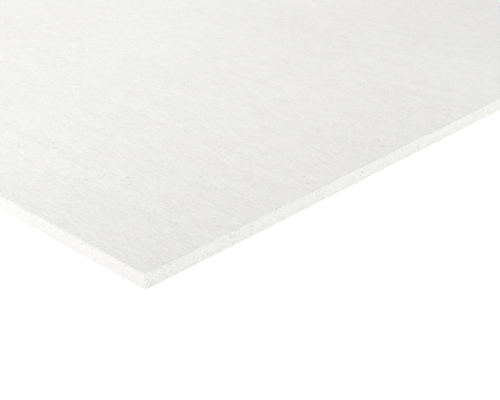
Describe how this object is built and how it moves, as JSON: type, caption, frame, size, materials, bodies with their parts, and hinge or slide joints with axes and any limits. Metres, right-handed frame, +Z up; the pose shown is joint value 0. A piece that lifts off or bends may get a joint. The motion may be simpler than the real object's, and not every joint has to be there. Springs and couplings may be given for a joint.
{
  "type": "gypsum fiberboard",
  "caption": "Flat rectangular gypsum fiberboard with sanded faces and square sawn edges, for lining walls, ceilings and floors.",
  "frame": {"origin": "centre of the back face, on the floor that the board lies on", "axes": "+X along the length, the sanding direction; +Y across the width; +Z up through the thickness, out of the front face"},
  "size_m": [1.5, 1, 0.01],
  "materials": {
    "gypsum_fiber": "fine sanded matt off-white gypsum with small grey-olive paper fibre flecks"
  },
  "bodies": {
    "root": {"gypsum_fiberboard": "gypsum_fiber"}
  },
  "joints": []
}
